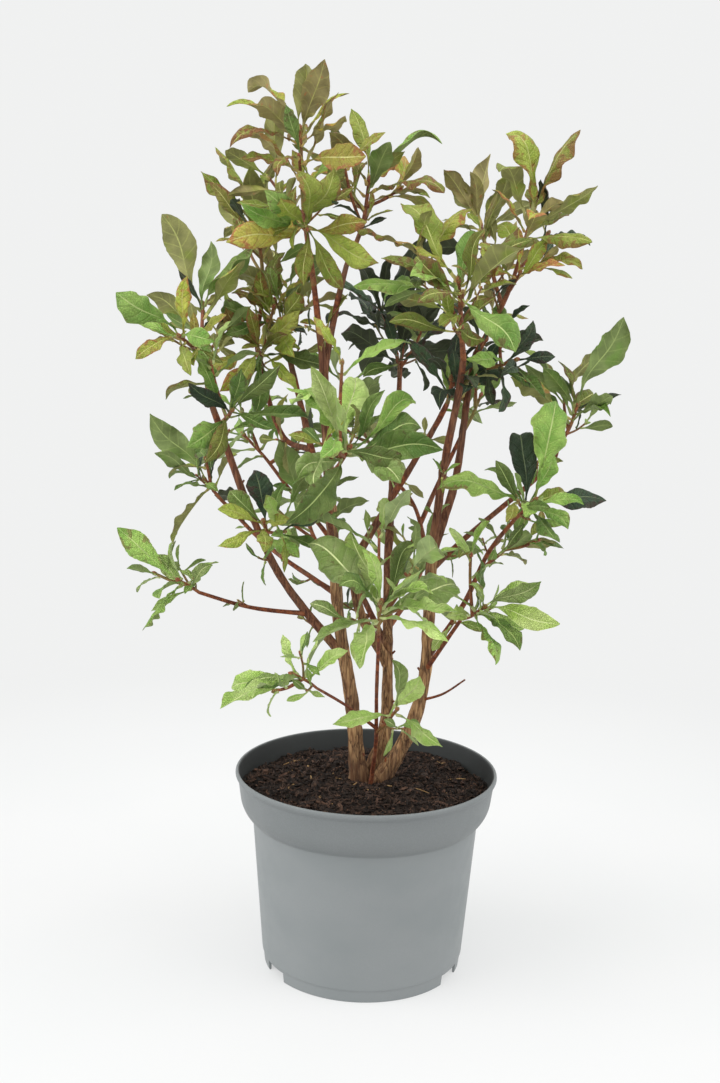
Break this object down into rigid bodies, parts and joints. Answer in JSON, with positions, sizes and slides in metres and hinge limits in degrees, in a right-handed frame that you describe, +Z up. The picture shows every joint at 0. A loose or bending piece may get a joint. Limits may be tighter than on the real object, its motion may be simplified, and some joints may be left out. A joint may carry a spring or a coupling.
{
  "type": "potted azalea shrub",
  "caption": "Deciduous azalea shrub, upright and multi-stemmed, with whorls of green and bronze leaves, standing in a round grey nursery pot of compost.",
  "frame": {"origin": "centre of the pot's flat underside", "axes": "+Z up along the pot's axis, -Y towards the viewer, +X to the viewer's right"},
  "size_m": [0.4118, 0.3888, 0.7419],
  "materials": {
    "pot": "mid grey moulded plastic",
    "compost": "dark fibrous compost",
    "bark": "tan-brown fissured bark, red-brown on young wood",
    "leaf_fresh": "fresh green leaves",
    "leaf_mid": "mid green leaves",
    "leaf_olive": "olive green leaves",
    "leaf_bronze": "bronzed leaves",
    "leaf_dark": "dark green leaves"
  },
  "bodies": {
    "root": {"pot": "pot", "compost": "compost", "stem_left": "bark", "stem_middle": "bark", "stem_right": "bark", "bough_top_left": "bark", "bough_top_middle": "bark", "bough_centre_left": "bark", "bough_left_back": "bark", "bough_left_long": "bark", "bough_left_mid": "bark", "bough_left_low": "bark", "bough_crook": "bark", "bough_cross": "bark", "bough_right_left": "bark", "bough_right_right": "bark", "bough_right_outer": "bark", "bough_right_mid": "bark", "bough_right_low": "bark", "bough_back_centre": "bark", "bough_back_right": "bark", "bough_back_left": "bark", "bough_front_centre": "bark", "bough_front": "bark", "bough_front_left": "bark", "twig_bare_right": "bark", "foliage_top_left": "leaf_bronze", "foliage_top_middle": "leaf_bronze", "foliage_upper_left": "leaf_olive", "foliage_centre_left": "leaf_olive", "foliage_left_inner": "leaf_olive", "foliage_left_outer": "leaf_olive", "foliage_left_side": "leaf_mid", "foliage_left_mid": "leaf_mid", "foliage_left_low": "leaf_fresh", "foliage_left_front": "leaf_mid", "foliage_back_left": "leaf_mid", "foliage_back_low_left": "leaf_mid", "foliage_front_centre": "leaf_fresh", "foliage_back_middle": "leaf_dark", "foliage_back_centre": "leaf_mid", "foliage_cross": "leaf_dark", "foliage_right_front": "leaf_olive", "foliage_right_top": "leaf_bronze", "foliage_right_side": "leaf_dark", "foliage_right_outer": "leaf_olive", "foliage_right_mid": "leaf_mid", "foliage_right_inner": "leaf_mid", "foliage_right_low": "leaf_fresh", "foliage_back_right": "leaf_mid", "foliage_back_low_right": "leaf_mid", "foliage_front": "leaf_fresh", "foliage_front_left": "leaf_fresh", "foliage_front_right": "leaf_fresh"}
  },
  "joints": []
}
